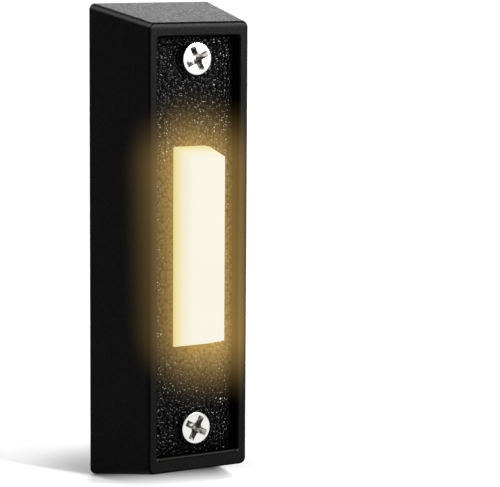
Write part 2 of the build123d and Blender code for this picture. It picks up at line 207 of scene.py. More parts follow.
turned = add_node(tree, "VectorMath", {0: turn}, operation="ABSOLUTE")
outward = add_node(tree, "SeparateXYZ", {0: turned.outputs[0]})
# Painted shade on the rounded edges.
shaded_edges = add_node(tree, "ValToRGB", {"Fac": outward.outputs["Y"]})
fill_ramp(shaded_edges, [(start, linear(colour)) for start, colour in edge_shade_stops])
# Painted highlight along the upper side edges.
upward = add_node(tree, "ValToRGB", {"Fac": facing.outputs["Z"]})
fill_ramp(upward, [(start, grey(share)) for start, share in highlight_stops])
sideways = add_node(tree, "MapRange", {
    "Value": outward.outputs["X"], "From Min": highlight_sides[0], "From Max": highlight_sides[1]})
polish_and_painted_highlight = add_node(tree, "Math", {0: upward.outputs[0], 1: sideways.outputs[0]},
                  operation="MULTIPLY")
# Painted highlight on the front's upper lip.
on_front = add_node(tree, "MapRange", {
    "Value": outward.outputs["Y"], "From Min": lip_turn[0], "From Max": lip_turn[1]})
up_front = add_node(tree, "SeparateXYZ", {0: place})
painted_lip_highlight = add_node(tree, "MapRange", {
    "Value": up_front.outputs["Z"], "From Min": lip_highlight_band[0], "From Max": lip_highlight_band[1],
    "To Max": lip_highlight_share}, interpolation_type="SMOOTHSTEP")
lip_and_edge_highlight = add_node(tree, "Math", {
    0: painted_lip_highlight.outputs[0], 1: on_front.outputs[0], 2: polish_and_painted_highlight.outputs[0]}, operation="MULTIPLY_ADD")
highlighted = add_node(tree, "MixRGB", {
    "Fac": lip_and_edge_highlight.outputs[0], "Color1": shaded_edges.outputs[0],
    "Color2": linear(painted_highlight_colour)})
speckled = add_node(tree, "VectorMath", {0: highlighted.outputs[0], "Scale": speckle.outputs[0]},
                    operation="SCALE")
fill_inputs(tree, shader, {
    "Base Color": speckled.outputs[0], "Roughness": dust.outputs[0],
    "Specular IOR Level": coat_gloss, "Normal": bump.outputs[0],
    "Emission Color": bar_glow(tree, place), "Emission Strength": glow_strength})
dress(coat, "housing")

# Pebbled floor: the sunken front of the casting, grained like leather under a glossier black.
# It is cast with the housing; here it is a thin skin over floor and walls, open round the bar.
# Bare rings are left where the wall screws seat.
floor_height = -15.5 * mm
skin_width = 17.1 * mm
skin_height = 78.4 * mm
skin_columns = 146
skin_rows = 660
skin_lift = 0.1 * mm
skin_root = 0.15 * mm
corner_give = 0.12 * mm
corner_reach = 0.9 * mm
wall_rise = 2.1 * mm
wall_top = (17.6 * mm, 78.9 * mm)
wall_back = (17.8 * mm, 79.1 * mm)
window_half = (4.14 * mm, 18.95 * mm)
screw_hole = 2.2 * mm
bare_rings = {"upper_mounting_screw": 3.6 * mm, "lower_mounting_screw": 3.1 * mm}
edge_fade = 0.25 * mm
pebble_width = 0.7 * mm
pebble_rise = 0.10 * mm
pebble_contrast = 2.4
pebble_softness = 0.3
pebble_smooth_angle = math.radians(65)
top_share = 0.92
ripple_width = 0.45 * mm
ripple_rise = 0.03 * mm
gloss_colour = "#010101"
gloss_level = 0.06
gloss_haze = 3 * mm
gloss_roughness = (0.08, 0.16)
# Painted shade: less gloss where the floor's ends lie under the rim, and none on the walls.
sheltered_levels = {"glossy_black_coat_at_the_ends": 0.03, "glossy_black_coat_on_the_walls": 0.0}
sheltered_end = 37.3 * mm
ends_slot = 1
walls_slot = 2
grit_width = 0.65 * mm
grit_depth = 0.36 * mm
grit_end = (0.1, 0.2)
dip_depth = 0.5
dip_glow = (1.2, 0.86)
caught_stops = ((0, 0.92), (0.06, 1.01), (0.12, 0.71), (1, 0.48))
right_side = (3 * mm, 6 * mm)
right_glow = 1.4
# Painted highlight: the up-facing sill by the rim is drawn paler.
sill_highlight_colour = "#2A2826"
sill_turn = (0.8, 0.95)
sill_highlight_band = (floor_height - 1.2 * mm, floor_height - 2.0 * mm)
screw_seats = {}
for name in bare_rings:
    low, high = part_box(name)
    screw_seats[name] = (low + high) / 2


def select_faces(piece, test):
    """Selects, in edit mode, the faces whose middle and normal pass the test."""
    bpy.ops.mesh.select_mode(type="FACE")
    bpy.ops.mesh.select_all(action="DESELECT")
    shape = bmesh.from_edit_mesh(piece.data)
    for face in shape.faces:
        face.select_set(test(face.calc_center_median(), face.normal))
    bmesh.update_edit_mesh(piece.data)


def select_rims(piece, test):
    """Selects, in edit mode, the open edges whose middle passes the test."""
    bpy.ops.mesh.select_all(action="DESELECT")
    shape = bmesh.from_edit_mesh(piece.data)
    for edge in shape.edges:
        edge.select_set(edge.is_boundary and test((edge.verts[0].co + edge.verts[1].co) / 2))
    bmesh.update_edit_mesh(piece.data)


def select_corners(piece):
    """Selects, in edit mode, the corners of a flat grid."""
    bpy.ops.mesh.select_mode(type="VERT")
    bpy.ops.mesh.select_all(action="DESELECT")
    shape = bmesh.from_edit_mesh(piece.data)
    for corner in shape.verts:
        corner.select_set(len(corner.link_edges) == 2)
    bmesh.update_edit_mesh(piece.data)


def face_outwards():
    """Turns all faces of the piece in edit mode outwards."""
    bpy.ops.mesh.select_all(action="SELECT")
    bpy.ops.mesh.normals_make_consistent(inside=False)


def from_seat(point, name):
    """How far a point of the floor is from a wall screw's axis."""
    return math.hypot(point.x - screw_seats[name].x, point.z - screw_seats[name].z)


def in_opening(point, normal):
    """True inside the bar's window and the screw holes."""
    in_window = abs(point.x) < window_half[0] and abs(point.z) < window_half[1]
    return in_window or any(from_seat(point, name) < screw_hole for name in screw_seats)


bpy.ops.object.select_all(action="DESELECT")
bpy.ops.mesh.primitive_grid_add(
    x_subdivisions=skin_columns, y_subdivisions=skin_rows, size=1,
    location=(0, floor_height - skin_lift, 0), rotation=(math.pi / 2, 0, 0))
skin = bpy.context.object
skin.name = "pebbled_floor"
skin.scale = (skin_width, skin_height, 1)
bpy.ops.object.transform_apply()
bpy.ops.object.mode_set(mode="EDIT")
select_corners(skin)
bpy.ops.transform.resize(
    value=(1 - 2 * corner_give / skin_width, 1, 1 - 2 * corner_give / skin_height),
    center_override=(0, 0, 0), use_proportional_edit=True, proportional_size=corner_reach)
bpy.ops.mesh.select_mode(type="EDGE")
bpy.ops.mesh.select_all(action="SELECT")
bpy.ops.mesh.region_to_loop()
bpy.ops.mesh.extrude_edges_move(TRANSFORM_OT_translate={"value": (0, -wall_rise, 0)})
bpy.ops.transform.resize(value=(wall_top[0] / skin_width, 1, wall_top[1] / skin_height),
                         center_override=(0, 0, 0))
bpy.ops.mesh.extrude_edges_move()
bpy.ops.transform.resize(value=(wall_back[0] / wall_top[0], 1, wall_back[1] / wall_top[1]),
                         center_override=(0, 0, 0))
bpy.ops.mesh.extrude_edges_move(TRANSFORM_OT_translate={"value": (0, wall_rise + skin_root, 0)})
select_faces(skin, in_opening)
bpy.ops.mesh.delete(type="FACE")
bpy.ops.mesh.select_mode(type="EDGE")
select_rims(skin, lambda middle: middle.y < floor_height)
bpy.ops.mesh.extrude_edges_move(TRANSFORM_OT_translate={"value": (0, skin_root, 0)})
select_rims(skin, lambda middle: True)
bpy.ops.mesh.fill()
face_outwards()
bpy.ops.object.mode_set(mode="OBJECT")

pebbled = skin.vertex_groups.new(name="pebbled")
for vertex in skin.data.vertices:
    point = vertex.co
    edges = [skin_width / 2 - abs(point.x), skin_height / 2 - abs(point.z),
             max(abs(point.x) - window_half[0], abs(point.z) - window_half[1])]
    edges += [from_seat(point, name) - bare_rings[name] for name in bare_rings]
    share = 1 - (1 - top_share) * (point.z / skin_height + 0.5)
    if floor_height - 2 * skin_lift < point.y < floor_height:
        pebbled.add([vertex.index], share * min(max(min(edges) / edge_fade, 0), 1), "REPLACE")
pebbles = bpy.data.textures.new("pebbles", "VORONOI")
pebbles.distance_metric = "DISTANCE_SQUARED"
pebbles.noise_scale = pebble_width
pebbles.noise_intensity = pebble_contrast
ripples = bpy.data.textures.new("ripples", "CLOUDS")
ripples.noise_scale = ripple_width
for texture, rise, still_value in ((pebbles, pebble_rise, 1.0), (ripples, ripple_rise, 0.5)):
    swell = skin.modifiers.new(texture.name, "DISPLACE")
    swell.texture = texture
    swell.texture_coords = "LOCAL"
    swell.direction = "Y"
    swell.strength = rise
    swell.mid_level = still_value
    swell.vertex_group = "pebbled"
    bpy.ops.object.modifier_apply(modifier=swell.name)
soften = skin.modifiers.new("soften", "SMOOTH")
soften.factor = pebble_softness
soften.iterations = 1
soften.vertex_group = "pebbled"
bpy.ops.object.modifier_apply(modifier="soften")
bpy.ops.object.shade_smooth_by_angle(angle=pebble_smooth_angle)

# Each pebble throws a sharp glint. The steep fine grain that throws most of them is bump, because
# so many grains would take too many faces, and the same grain mottles the bar's glow.
# Painted shade: less gloss at the floor's ends and none on the walls. Painted highlight: a paler
# sill.
gloss, tree, shader, place = start_material("glossy_black_coat")
haze = add_node(tree, "TexNoise", {"Vector": place, "Scale": 1 / gloss_haze, "Detail": 2.0})
wear = add_node(tree, "MapRange", {
    "Value": haze.outputs["Fac"], "To Min": gloss_roughness[0], "To Max": gloss_roughness[1]})
height = add_node(tree, "SeparateXYZ", {0: place})
raised = add_node(tree, "MapRange", {
    "Value": height.outputs["Y"], "From Min": floor_height - skin_lift,
    "From Max": floor_height - wall_rise})
flat = add_node(tree, "CombineXYZ", {"X": height.outputs["X"], "Y": height.outputs["Z"]})
grit = add_node(tree, "TexVoronoi", {"Vector": flat.outputs[0], "Scale": 1 / grit_width},
                voronoi_dimensions="2D")
domes = add_node(tree, "Math", {0: grit.outputs["Distance"], 1: 2.0}, operation="POWER")
low_down = add_node(tree, "MapRange", {
    "Value": raised.outputs[0], "From Min": grit_end[0], "From Max": grit_end[1],
    "To Min": 1, "To Max": 0})
bump = add_node(tree, "Bump", {
    "Height": domes.outputs[0], "Distance": grit_depth, "Strength": low_down.outputs[0]},
    invert=True)
# The bar's light on the floor and walls is painted glow: weaker up the walls, stronger on the
# right, dimmer in the dips between grains.
caught = add_node(tree, "ValToRGB", {"Fac": raised.outputs[0]})
fill_ramp(caught, [(start, grey(share * glow_strength)) for start, share in caught_stops])
thrown = add_node(tree, "MapRange", {
    "Value": height.outputs["X"], "From Min": right_side[0], "From Max": right_side[1],
    "To Min": 1, "To Max": right_glow})
dips = add_node(tree, "Math", {0: domes.outputs[0], 1: low_down.outputs[0]},
                operation="MULTIPLY")
pitted = add_node(tree, "MapRange", {
    "Value": dips.outputs[0], "From Max": dip_depth, "To Min": dip_glow[0],
    "To Max": dip_glow[1]})
reached = add_node(tree, "Math", {0: caught.outputs[0], 1: thrown.outputs[0]},
                   operation="MULTIPLY")
painted_glow_strength = add_node(tree, "Math", {0: reached.outputs[0], 1: pitted.outputs[0]},
                  operation="MULTIPLY")
turn = add_node(tree, "NewGeometry", {}).outputs["Normal"]
facing = add_node(tree, "SeparateXYZ", {0: turn})
# Painted highlight on the sill where it faces up.
sill = add_node(tree, "MapRange", {
    "Value": facing.outputs["Z"], "From Min": sill_turn[0], "From Max": sill_turn[1]})
painted_lip_highlight = add_node(tree, "MapRange", {
    "Value": height.outputs["Y"], "From Min": sill_highlight_band[0], "From Max": sill_highlight_band[1],
    "To Max": sill.outputs[0]})
tone = add_node(tree, "MixRGB", {
    "Fac": painted_lip_highlight.outputs[0], "Color1": linear(gloss_colour), "Color2": linear(sill_highlight_colour)})
fill_inputs(tree, shader, {
    "Base Color": tone.outputs[0], "Roughness": wear.outputs[0],
    "Specular IOR Level": gloss_level, "Normal": bump.outputs[0],
    "Emission Color": bar_glow(tree, place), "Emission Strength": painted_glow_strength.outputs[0]})
skin.data.materials.append(gloss)
# Painted shade: copies of the floor's material with less gloss at its ends and none on the walls.
for name, level in sheltered_levels.items():
    sheltered = gloss.copy()
    sheltered.name = name
    shader = sheltered.node_tree.nodes["Principled BSDF"]
    fill_inputs(sheltered.node_tree, shader, {"Specular IOR Level": level})
    skin.data.materials.append(sheltered)
for face in skin.data.polygons:
    if face.center.y < floor_height - wall_rise / 4:
        face.material_index = walls_slot
    elif abs(face.center.z) > sheltered_end:
        face.material_index = ends_slot
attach(skin, "housing")

# Push bar: one hollow moulding in translucent cream acrylic, lit by two lamps behind it.
# It slides in the window of the panel, and its flange stops it from behind.
# It shows cream on its front and deepens to amber down its sides, where less light gets out.
bar_colour = "#1C1912"
bar_gloss = 0.02
lit_stops = ((0, "#EADA94"), (0.53, "#F7EED0"), (0.95, "#F4F1E2"))
front_share = 0.88
middle_share = 0.12
middle_fade = (3.9 * mm, 2.0 * mm)
cloud_width = 6 * mm
cloud_light = (0.98, 1.01)
bar_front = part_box("button_cap")[0].y
milk, tree, shader, place = start_material("lit_cream_acrylic")
height = add_node(tree, "SeparateXYZ", {0: place})
upward = add_node(tree, "MapRange", {
    "Value": height.outputs["Y"], "From Min": floor_height, "From Max": bar_front,
    "To Max": front_share})
sideways = add_node(tree, "Math", {0: height.outputs["X"]}, operation="ABSOLUTE")
inward = add_node(tree, "MapRange", {
    "Value": sideways.outputs[0], "From Min": middle_fade[0], "From Max": middle_fade[1],
    "To Max": middle_share})
brighter = add_node(tree, "Math", {0: upward.outputs[0], 1: inward.outputs[0]}, operation="ADD")
cloud = add_node(tree, "TexNoise", {"Vector": place, "Scale": 1 / cloud_width, "Detail": 1.0})
patches = add_node(tree, "MapRange", {
    "Value": cloud.outputs["Fac"], "To Min": cloud_light[0], "To Max": cloud_light[1]})
lit = add_node(tree, "ValToRGB", {"Fac": brighter.outputs[0]})
fill_ramp(lit, [(start, linear(colour)) for start, colour in lit_stops])
even = add_node(tree, "VectorMath", {0: lit.outputs[0], "Scale": patches.outputs[0]},
                operation="SCALE")
fill_inputs(tree, shader, {
    "Base Color": linear(bar_colour), "Roughness": 0.5, "IOR": 1.49,
    "Specular IOR Level": bar_gloss, "Emission Color": even.outputs[0],
    "Emission Strength": 1.0})
dress(milk, "button_cap")

# Wall screws: two countersunk wood screws in bright zinc-plated steel, with a cold-formed cross
# recess and a rolled thread. They pass through the housing and the base plate into the wall.
# Each was left at its own angle when it was driven home.
weld = 0.001 * mm
head_radius = 3.0 * mm
head_sides = 48
head_rim = 0.4 * mm
head_cone = 2.2 * mm
head_round = 0.14 * mm
neck_radius = 1.28 * mm
neck_length = 3.3 * mm
core_radius = 1.12 * mm
crest_radius = 1.62 * mm
thread_turns = 18
thread_sides = 28
thread_profile = ((0, 0.42), (1, 0.24), (0, 0.08), (-1, 0.26))  # shares of its depth and pitch
point_length = 5.0 * mm
point_taper = -0.94
cross_length = 5.2 * mm
cross_width = 1.25 * mm
cross_depth = 1.9 * mm
cross_end = (1.7 * mm, 0.7 * mm)
cross_round = 0.12 * mm
cross_core = (1.25 * mm, 0.5 * mm)
core_round = 0.1 * mm
cross_lip = 0.2 * mm
recess_top = 0.03 * mm
recess_bottom = cross_depth + 0.05 * mm
recess_radius = 2.5 * mm
recess_slope = 0.5
screw_smooth_angle = math.radians(35)
screw_turns = {"upper_mounting_screw": 26, "lower_mounting_screw": -29}
plate_colour = "#B2B2B0"
plate_smear = 0.8 * mm
plate_roughness = (0.14, 0.3)
# Painted shade in the screws' cross recess, drawn in patches.
recess_shade_colours = ("#46413C", "#B2ADA8")
recess_patch_width = 0.8 * mm
recess_patch_span = (0.38, 0.62)
low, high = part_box("upper_mounting_screw")
screw_length = high.y - low.y
thread_start = head_rim + head_cone + neck_length
thread_length = screw_length - thread_start
thread_depth = crest_radius - core_radius
pitch = thread_length / (thread_turns + 1)


def cut_away(piece, cutter):
    """Cuts the cutter's shape out of a piece and removes the cutter."""
    bpy.context.view_layer.objects.active = piece
    cutting = piece.modifiers.new("cutting", "BOOLEAN")
    cutting.operation = "DIFFERENCE"
    cutting.solver = "EXACT"
    cutting.object = cutter
    bpy.ops.object.modifier_apply(modifier="cutting")
    bpy.data.objects.remove(cutter)


def wind(profile, rise, turns, sides):
    """Winds a profile round the Y axis, so many turns that rise by so much each."""
    winding = profile.modifiers.new("winding", "SCREW")
    winding.axis = "Y"
    winding.angle = 2 * math.pi
    winding.screw_offset = rise
    winding.iterations = turns
    winding.steps = sides
    winding.render_steps = sides
    winding.use_merge_vertices = True
    winding.merge_threshold = weld
    bpy.ops.object.modifier_apply(modifier="winding")


def placed_copy(model, name, turn, place):
    """A copy of a finished model with its own mesh, turned about the Y axis and put in place."""
    bpy.ops.object.select_all(action="DESELECT")
    fitted = model.copy()
    fitted.data = model.data.copy()
    fitted.name = name
    bpy.context.collection.objects.link(fitted)
    fitted.rotation_euler = (0, turn, 0)
    fitted.location = place
    fitted.select_set(True)
    bpy.context.view_layer.objects.active = fitted
    bpy.ops.object.transform_apply()
    return fitted


bpy.ops.object.select_all(action="DESELECT")
bpy.ops.mesh.primitive_circle_add(vertices=head_sides, radius=head_radius, fill_type="NGON",
                                  rotation=(math.pi / 2, 0, 0))
screw = bpy.context.object
bpy.ops.object.transform_apply()
bpy.ops.object.mode_set(mode="EDIT")
bpy.ops.mesh.extrude_region_move(TRANSFORM_OT_translate={"value": (0, head_rim, 0)})
bpy.ops.mesh.extrude_region_move(TRANSFORM_OT_translate={"value": (0, head_cone, 0)})
shrink = neck_radius / head_radius
bpy.ops.transform.resize(value=(shrink, 1, shrink), center_override=(0, 0, 0))
bpy.ops.mesh.extrude_region_move(TRANSFORM_OT_translate={"value": (0, neck_length + pitch, 0)})
select_faces(screw, lambda middle, normal: middle.y < weld)
bpy.ops.mesh.bevel(offset=head_round, segments=3, affect="EDGES")
face_outwards()
bpy.ops.object.mode_set(mode="OBJECT")

for quarter in (0, math.pi / 2):
    bpy.ops.object.select_all(action="DESELECT")
    bpy.ops.mesh.primitive_cube_add(size=1, location=(0, (cross_depth - cross_lip) / 2, 0))
    cutter = bpy.context.object
    cutter.scale = (cross_length, cross_depth + cross_lip, cross_width)
    bpy.ops.object.transform_apply()
    bpy.ops.object.mode_set(mode="EDIT")
    select_faces(cutter, lambda middle, normal: normal.y > 0.9)
    bpy.ops.transform.resize(value=(cross_end[0] / cross_length, 1, cross_end[1] / cross_width),
                             center_override=(0, 0, 0))
    bpy.ops.mesh.select_all(action="SELECT")
    bpy.ops.mesh.bevel(offset=cross_round, segments=2, affect="EDGES")
    bpy.ops.object.mode_set(mode="OBJECT")
    cutter.rotation_euler = (0, quarter, 0)
    bpy.ops.object.transform_apply()
    cut_away(screw, cutter)

bpy.ops.object.select_all(action="DESELECT")
bpy.ops.mesh.primitive_circle_add(
    vertices=4, radius=cross_core[0], fill_type="NGON", location=(0, -cross_lip, 0),
    rotation=(math.pi / 2, math.pi / 4, 0))
cutter = bpy.context.object
bpy.ops.object.transform_apply()
bpy.ops.object.mode_set(mode="EDIT")
bpy.ops.mesh.extrude_region_move(
    TRANSFORM_OT_translate={"value": (0, cross_depth + cross_lip, 0)})
shrink = cross_core[1] / cross_core[0]
bpy.ops.transform.resize(value=(shrink, 1, shrink), center_override=(0, 0, 0))
face_outwards()
bpy.ops.mesh.bevel(offset=core_round, segments=2, affect="EDGES")
bpy.ops.object.mode_set(mode="OBJECT")
cut_away(screw, cutter)

bpy.ops.object.select_all(action="DESELECT")
bpy.ops.mesh.primitive_plane_add(size=mm)
thread = bpy.context.object
bpy.ops.object.mode_set(mode="EDIT")
bpy.ops.mesh.select_mode(type="VERT")
bpy.ops.mesh.merge(type="CENTER")
bpy.ops.transform.translate(value=(core_radius, point_length - thread_length, 0))
for outwards, onwards in thread_profile:
    bpy.ops.mesh.extrude_region_move(
        TRANSFORM_OT_translate={"value": (outwards * thread_depth, onwards * pitch, 0)})
bpy.ops.object.mode_set(mode="OBJECT")
wind(thread, pitch, thread_turns, thread_sides)
pointing = thread.modifiers.new("pointing", "SIMPLE_DEFORM")
pointing.deform_method = "TAPER"
pointing.deform_axis = "Y"
pointing.factor = point_taper
pointing.limits = ((thread_length - point_length) / thread_length, 1)
bpy.ops.object.modifier_apply(modifier="pointing")
bpy.ops.object.mode_set(mode="EDIT")
bpy.ops.mesh.select_all(action="SELECT")
bpy.ops.mesh.fill_holes(sides=0)
bpy.ops.mesh.select_all(action="SELECT")
bpy.ops.transform.translate(value=(0, screw_length - point_length, 0))
bpy.ops.mesh.remove_doubles(threshold=weld)
face_outwards()
bpy.ops.object.mode_set(mode="OBJECT")
screw.select_set(True)
bpy.context.view_layer.objects.active = screw
bpy.ops.object.join()

bpy.ops.object.mode_set(mode="EDIT")
select_faces(screw, lambda middle, normal: recess_top < middle.y < recess_bottom
             and math.hypot(middle.x, middle.z) < recess_radius - recess_slope * middle.y)
recess_faces = [face.index for face in bmesh.from_edit_mesh(screw.data).faces if face.select]
bpy.ops.object.mode_set(mode="OBJECT")

# The plate mirrors the white room, with faint smears that blur it here and there.
plate, tree, shader, place = start_material("bright_zinc_plate")
smear = add_node(tree, "TexNoise", {"Vector": place, "Scale": 1 / plate_smear, "Detail": 2.0})
polish_and_painted_highlight = add_node(tree, "MapRange", {
    "Value": smear.outputs["Fac"], "To Min": plate_roughness[0], "To Max": plate_roughness[1]})
fill_inputs(tree, shader, {
    "Base Color": linear(plate_colour), "Metallic": 1.0, "Roughness": polish_and_painted_highlight.outputs[0]})
# The recess is drawn patchy, brown-grey and bright, darker than the plate round it: painted shade.
shaded_recess, tree, shader, place = start_material("zinc_plate_shaded_in_the_recess")
recess_patches = add_node(tree, "TexNoise", {"Vector": place, "Scale": 1 / recess_patch_width, "Detail": 2.0})
patchy = add_node(tree, "MapRange", {
    "Value": recess_patches.outputs["Fac"], "From Min": recess_patch_span[0], "From Max": recess_patch_span[1]})
tone = add_node(tree, "MixRGB", {
    "Fac": patchy.outputs[0], "Color1": linear(recess_shade_colours[0]),
    "Color2": linear(recess_shade_colours[1])})
fill_inputs(tree, shader, {"Base Color": tone.outputs[0], "Metallic": 1.0, "Roughness": 0.3})
screw.data.materials.clear()
screw.data.materials.append(plate)
screw.data.materials.append(shaded_recess)
for index in recess_faces:
    screw.data.polygons[index].material_index = 1
for name, turn in screw_turns.items():
    low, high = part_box(name)
    driven = placed_copy(screw, name + "_threaded", math.radians(-turn),
                         (0, low.y, screw_seats[name].z))
    bpy.ops.object.shade_smooth_by_angle(angle=screw_smooth_angle)
    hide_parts(name)
    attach(driven, "housing")
bpy.data.objects.remove(screw)

# Contact parts: a bridge staked to the back of the bar and two terminal strips on the base plate,
# blanked from bright brass strip and bent. Rolling leaves fine lines along the strip.
brass_colours = ("#C9A04A", "#E6C572")
brass_roughness = (0.2, 0.4)
line_width = 0.1 * mm
line_stretch = (1, 1, 0.05)
brass, tree, shader, place = start_material("rolled_brass_strip")
stretch = add_node(tree, "Mapping", {"Vector": place, "Scale": line_stretch})
lines = add_node(tree, "TexNoise", {
    "Vector": stretch.outputs[0], "Scale": 1 / line_width, "Detail": 2.0})
tone = add_node(tree, "MixRGB", {
    "Fac": lines.outputs["Fac"], "Color1": linear(brass_colours[0]),
    "Color2": linear(brass_colours[1])})
polish_and_painted_highlight = add_node(tree, "MapRange", {
    "Value": lines.outputs["Fac"], "To Min": brass_roughness[0], "To Max": brass_roughness[1]})
fill_inputs(tree, shader, {
    "Base Color": tone.outputs[0], "Metallic": 1.0, "Roughness": polish_and_painted_highlight.outputs[0]})
dress(brass, "contact_bridge", "left_terminal_strip", "right_terminal_strip")

# Return springs: two coils of drawn spring-steel wire, ground flat at both ends, from board to bar.
# They push the bar out against the back of the panel and shorten as it is pressed; here they keep
# one length.
# Drawing leaves the wire smooth, with a faint grey mottle.
spring_wire = 0.45 * mm
wire_sides = 12
spring_diameter = 4.6 * mm
spring_pitch = 6.6 * mm / 3.5
spring_turns = 4
spring_sides = 32
spring_start = math.radians(137)
spring_smooth_angle = math.radians(50)
wire_colours = ("#9A9BA0", "#C9CACE")
wire_mottle = 0.4 * mm
drawn, tree, shader, place = start_material("drawn_spring_steel")
mottle = add_node(tree, "TexNoise", {"Vector": place, "Scale": 1 / wire_mottle, "Detail": 2.0})
tone = add_node(tree, "MixRGB", {
    "Fac": mottle.outputs["Fac"], "Color1": linear(wire_colours[0]),
    "Color2": linear(wire_colours[1])})
fill_inputs(tree, shader, {"Base Color": tone.outputs[0], "Metallic": 1.0, "Roughness": 0.32})

low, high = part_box("upper_return_spring")
bpy.ops.object.select_all(action="DESELECT")
bpy.ops.mesh.primitive_circle_add(vertices=wire_sides, radius=spring_wire / 2,
                                  location=((spring_diameter - spring_wire) / 2, 0, 0))
spring = bpy.context.object
spring.data.materials.append(drawn)
bpy.ops.object.transform_apply()
wind(spring, spring_pitch, spring_turns, spring_sides)
spring.rotation_euler = (0, spring_start, 0)
spring.location = (0, (low.y + high.y - spring_turns * spring_pitch) / 2, 0)
bpy.ops.object.transform_apply()
bpy.ops.object.mode_set(mode="EDIT")
for end, outward in ((low.y, -1), (high.y, 1)):
    bpy.ops.mesh.select_all(action="SELECT")
    bpy.ops.mesh.bisect(plane_co=(0, end, 0), plane_no=(0, outward, 0), use_fill=True,
                        clear_outer=True, threshold=weld)
bpy.ops.mesh.select_all(action="SELECT")
bpy.ops.mesh.remove_doubles(threshold=weld)
face_outwards()
bpy.ops.object.mode_set(mode="OBJECT")
for name in ("upper_return_spring", "lower_return_spring"):
    low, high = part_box(name)
    fitted = placed_copy(spring, name + "_coil", 0, (0, 0, (low.z + high.z) / 2))
    bpy.ops.object.shade_smooth_by_angle(angle=spring_smooth_angle)
    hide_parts(name)
    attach(fitted, "housing")
    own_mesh(fitted)
bpy.data.objects.remove(spring)

# Circuit board: glass-fibre laminate with a green solder mask, cut and drilled, screwed to the
# base plate. The weave shows faintly under the mask.
mask_colours = ("#174A2B", "#1F5A36")
weave_width = 1.2 * mm
board, tree, shader, place = start_material("green_solder_mask")
weave = add_node(tree, "TexWave", {"Vector": place, "Scale": 1 / weave_width, "Distortion": 1.0},
                 bands_direction="DIAGONAL")
tone = add_node(tree, "MixRGB", {
    "Fac": weave.outputs["Fac"], "Color1": linear(mask_colours[0]),
    "Color2": linear(mask_colours[1])})
fill_inputs(tree, shader, {"Base Color": tone.outputs[0], "Roughness": 0.35})
dress(board, "circuit_board")

# Lamps: two light-emitting diodes in warm clear epoxy, soldered to the board behind the bar.
# The chip sits low in the epoxy, so the foot glows deeper than the dome.
lamp_colour = "#D8C48C"
lamp_glow = ("#FFD98A", "#FFF1CC")
lamp_strength = 1.5
lamp, tree, shader, place = start_material("lit_clear_epoxy")
low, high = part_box("upper_led")
height = add_node(tree, "SeparateXYZ", {0: place})
upward = add_node(tree, "MapRange", {
    "Value": height.outputs["Y"], "From Min": high.y, "From Max": low.y})
lit = add_node(tree, "MixRGB", {
    "Fac": upward.outputs[0], "Color1": linear(lamp_glow[0]), "Color2": linear(lamp_glow[1])})
fill_inputs(tree, shader, {
    "Base Color": linear(lamp_colour), "Roughness": 0.12, "IOR": 1.55,
    "Emission Color": lit.outputs[0], "Emission Strength": lamp_strength})
dress(lamp, "upper_led", "lower_led")

# Leads: the wires of the lamps, the resistor and the diode, in tinned copper, soldered into the
# board. The tin has a dull shine that a thin film makes uneven.
tin_colour = "#CFCFCD"
tin_film = 0.5 * mm
tin_roughness = (0.3, 0.5)
tin, tree, shader, place = start_material("tinned_copper_wire")
film = add_node(tree, "TexNoise", {"Vector": place, "Scale": 1 / tin_film, "Detail": 2.0})
dull = add_node(tree, "MapRange", {
    "Value": film.outputs["Fac"], "To Min": tin_roughness[0], "To Max": tin_roughness[1]})
fill_inputs(tree, shader, {
    "Base Color": linear(tin_colour), "Metallic": 1.0, "Roughness": dull.outputs[0]})
dress(tin, "led_leads", "resistor_leads", "diode_leads")

# Resistor: a film on a ceramic rod under shiny tan lacquer, soldered to the board by its leads.
# Printed rings in four colours give its value.
lacquer_colour = "#C8A36B"
lacquer_rings = ((0.18, 0.26, "#5A3A1E"), (0.36, 0.44, "#1A1A1A"), (0.54, 0.62, "#B3261E"),
                 (0.78, 0.86, "#B08A3A"))


def printed_rings(tree, place, name, ground, rings):
    """The colour along a small upright body, with a ring printed from each start to its end."""
    low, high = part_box(name)
    height = add_node(tree, "SeparateXYZ", {0: place})
    along = add_node(tree, "MapRange", {
        "Value": height.outputs["Z"], "From Min": low.z, "From Max": high.z})
    tone = add_node(tree, "ValToRGB", {"Fac": along.outputs[0]})
    tone.color_ramp.interpolation = "CONSTANT"
    stops = [(0, linear(ground))]
    for start, end, colour in rings:
        stops += [(start, linear(colour)), (end, linear(ground))]
    fill_ramp(tone, stops + [(1, linear(ground))])
    return tone.outputs[0]


resistor, tree, shader, place = start_material("tan_resistor_lacquer")
rings = printed_rings(tree, place, "resistor_body", lacquer_colour, lacquer_rings)
fill_inputs(tree, shader, {"Base Color": rings, "Roughness": 0.3})
dress(resistor, "resistor_body")

# Diode: black moulded epoxy with a satin skin, soldered to the board by its leads.
# A silver ring is printed at its cathode end.
epoxy_colour = "#161617"
epoxy_rings = ((0.72, 0.86, "#B9BBBD"),)
diode, tree, shader, place = start_material("black_moulded_epoxy")
rings = printed_rings(tree, place, "diode_body", epoxy_colour, epoxy_rings)
fill_inputs(tree, shader, {"Base Color": rings, "Roughness": 0.45})
dress(diode, "diode_body")

